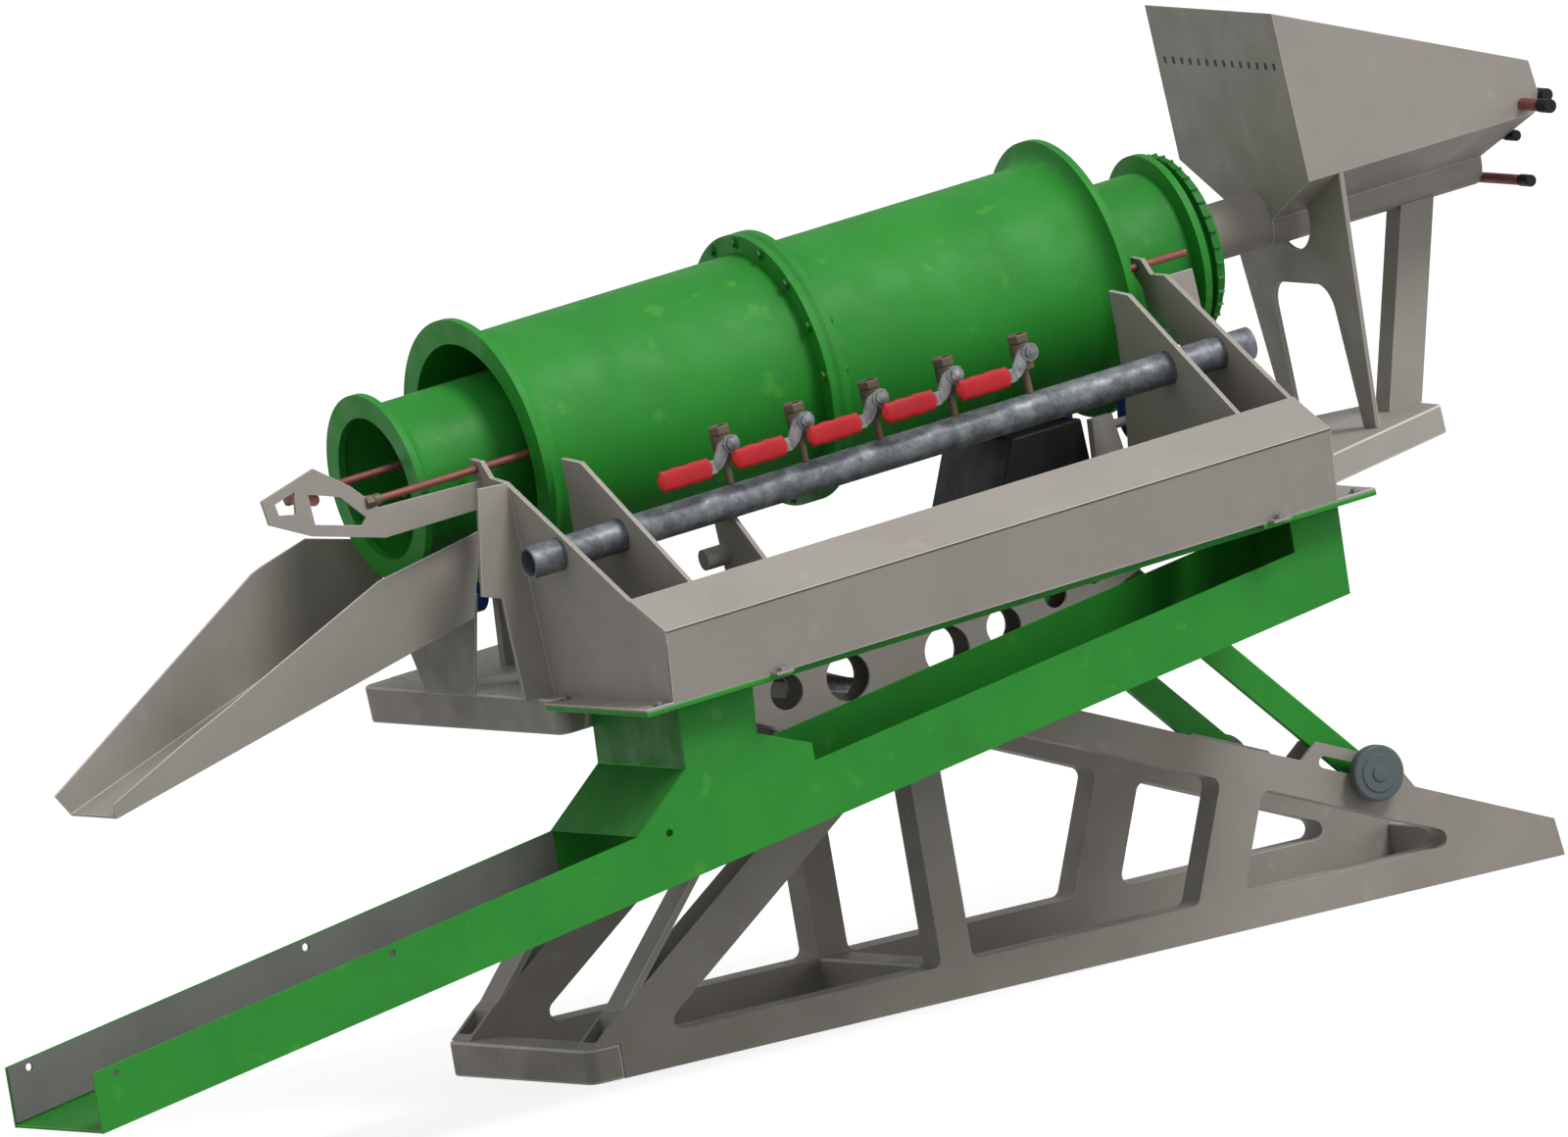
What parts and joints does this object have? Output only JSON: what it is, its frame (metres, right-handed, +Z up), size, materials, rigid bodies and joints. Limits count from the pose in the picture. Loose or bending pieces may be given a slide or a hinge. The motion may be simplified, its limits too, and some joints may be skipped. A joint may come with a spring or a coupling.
{
  "type": "trommel screen",
  "caption": "Small gravel-washing trommel: stepped rotating drums on a tilted frame with feed hopper, wash-water valves, stone chute and long side sluice on a skid.",
  "frame": {"origin": "on the ground, middle of the skid's front edge", "axes": "+X from the discharge end towards the hopper end, -Y towards the sluice, +Z up; the drum's axis lies in the plane Y=0"},
  "size_m": [1.9671, 0.6716, 0.9097],
  "materials": {
    "skid_grey": "matt grey paint",
    "frame_grey": "matt grey paint",
    "green": "bright green paint",
    "slate": "slate plastic",
    "steel": "plain steel",
    "black": "black paint",
    "galvanised": "mottled zinc",
    "red_grip": "steel lever in a red vinyl sleeve",
    "copper": "dull copper",
    "blue": "blue nylon"
  },
  "bodies": {
    "frame": {"skid_side_near": "skid_grey", "skid_side_far": "skid_grey", "skid_front_beam": "skid_grey", "skid_cross_beams": "skid_grey", "front_props": "skid_grey", "pivot_shaft": "steel", "roller_stands": "steel", "hopper_pipes": "steel", "slope_link_near": "green", "slope_link_far": "green", "riser_flange": "green", "sluice_side_near": "green", "sluice_side_far": "green", "sluice_floor": "green", "riser_ends": "green", "chassis_rail_near": "frame_grey", "chassis_rail_far": "frame_grey", "chassis_front_beam": "frame_grey", "chassis_cross_beams": "frame_grey", "chassis_tail": "frame_grey", "tray_floor": "frame_grey", "tray_gusset_1": "frame_grey", "tray_gusset_2": "frame_grey", "tray_gusset_3": "frame_grey", "tray_gusset_4": "frame_grey", "tray_panel": "frame_grey", "manifold_stay": "frame_grey", "spray_bracket": "frame_grey", "chute": "frame_grey", "chute_gusset": "frame_grey", "hopper_bin": "frame_grey", "hopper_arch": "frame_grey", "hopper_post": "frame_grey", "feed_pipe": "frame_grey", "drive_housing": "black", "manifold_pipe": "galvanised", "valve_bodies": "galvanised", "spray_bars_outer": "copper", "spray_bar_inner": "copper"},
    "drum": {"inner_drum": "green", "outer_drum_left": "green", "outer_drum_right": "green", "drum_spider": "green", "sprocket_ring": "green"},
    "roller_left_near": {"roller_left_near": "blue"},
    "roller_left_far": {"roller_left_far": "blue"},
    "roller_right_near": {"roller_right_near": "blue"},
    "roller_right_far": {"roller_right_far": "blue"},
    "lever_1": {"valve_lever_1": "red_grip"},
    "lever_2": {"valve_lever_2": "red_grip"},
    "lever_3": {"valve_lever_3": "red_grip"},
    "lever_4": {"valve_lever_4": "red_grip"},
    "lever_5": {"valve_lever_5": "red_grip"},
    "knob_near": {"slope_knob_near": "slate"},
    "knob_far": {"slope_knob_far": "slate"}
  },
  "joints": [
    {"name": "drum_spin", "type": "hinge", "parent": "frame", "child": "drum", "pos_m": [0.425, 0, 0.6555], "axis": [0.9984, 0, 0.0572], "continuous": true},
    {"name": "roller_left_near_spin", "type": "hinge", "parent": "frame", "child": "roller_left_near", "pos_m": [0.08281, -0.091, 0.49171], "axis": [0.9984, 0, 0.0572], "continuous": true},
    {"name": "roller_left_far_spin", "type": "hinge", "parent": "frame", "child": "roller_left_far", "pos_m": [0.08281, 0.091, 0.49171], "axis": [0.9984, 0, 0.0572], "continuous": true},
    {"name": "roller_right_near_spin", "type": "hinge", "parent": "frame", "child": "roller_right_near", "pos_m": [0.77567, -0.091, 0.53141], "axis": [0.9984, 0, 0.0572], "continuous": true},
    {"name": "roller_right_far_spin", "type": "hinge", "parent": "frame", "child": "roller_right_far", "pos_m": [0.77567, 0.091, 0.53141], "axis": [0.9984, 0, 0.0572], "continuous": true},
    {"name": "lever_1_turn", "type": "hinge", "parent": "frame", "child": "lever_1", "pos_m": [0.22259, -0.268, 0.62717], "axis": [0, 1, 0], "range_deg": [0, 90]},
    {"name": "lever_2_turn", "type": "hinge", "parent": "frame", "child": "lever_2", "pos_m": [0.31124, -0.268, 0.63225], "axis": [0, 1, 0], "range_deg": [0, 90]},
    {"name": "lever_3_turn", "type": "hinge", "parent": "frame", "child": "lever_3", "pos_m": [0.3999, -0.268, 0.63733], "axis": [0, 1, 0], "range_deg": [0, 90]},
    {"name": "lever_4_turn", "type": "hinge", "parent": "frame", "child": "lever_4", "pos_m": [0.48855, -0.268, 0.64241], "axis": [0, 1, 0], "range_deg": [0, 90]},
    {"name": "lever_5_turn", "type": "hinge", "parent": "frame", "child": "lever_5", "pos_m": [0.57721, -0.268, 0.6475], "axis": [0, 1, 0], "range_deg": [0, 90]},
    {"name": "knob_near_turn", "type": "hinge", "parent": "frame", "child": "knob_near", "pos_m": [0.937, -0.156, 0.12873], "axis": [0, 1, 0], "continuous": true},
    {"name": "knob_far_turn", "type": "hinge", "parent": "frame", "child": "knob_far", "pos_m": [0.937, 0.156, 0.12873], "axis": [0, 1, 0], "continuous": true}
  ],
  "couplings": [
    {"joint": "roller_left_near_spin", "follows": "drum_spin", "ratio": -6.0833},
    {"joint": "roller_left_far_spin", "follows": "drum_spin", "ratio": -6.0833},
    {"joint": "roller_right_near_spin", "follows": "drum_spin", "ratio": -6.0833},
    {"joint": "roller_right_far_spin", "follows": "drum_spin", "ratio": -6.0833}
  ]
}
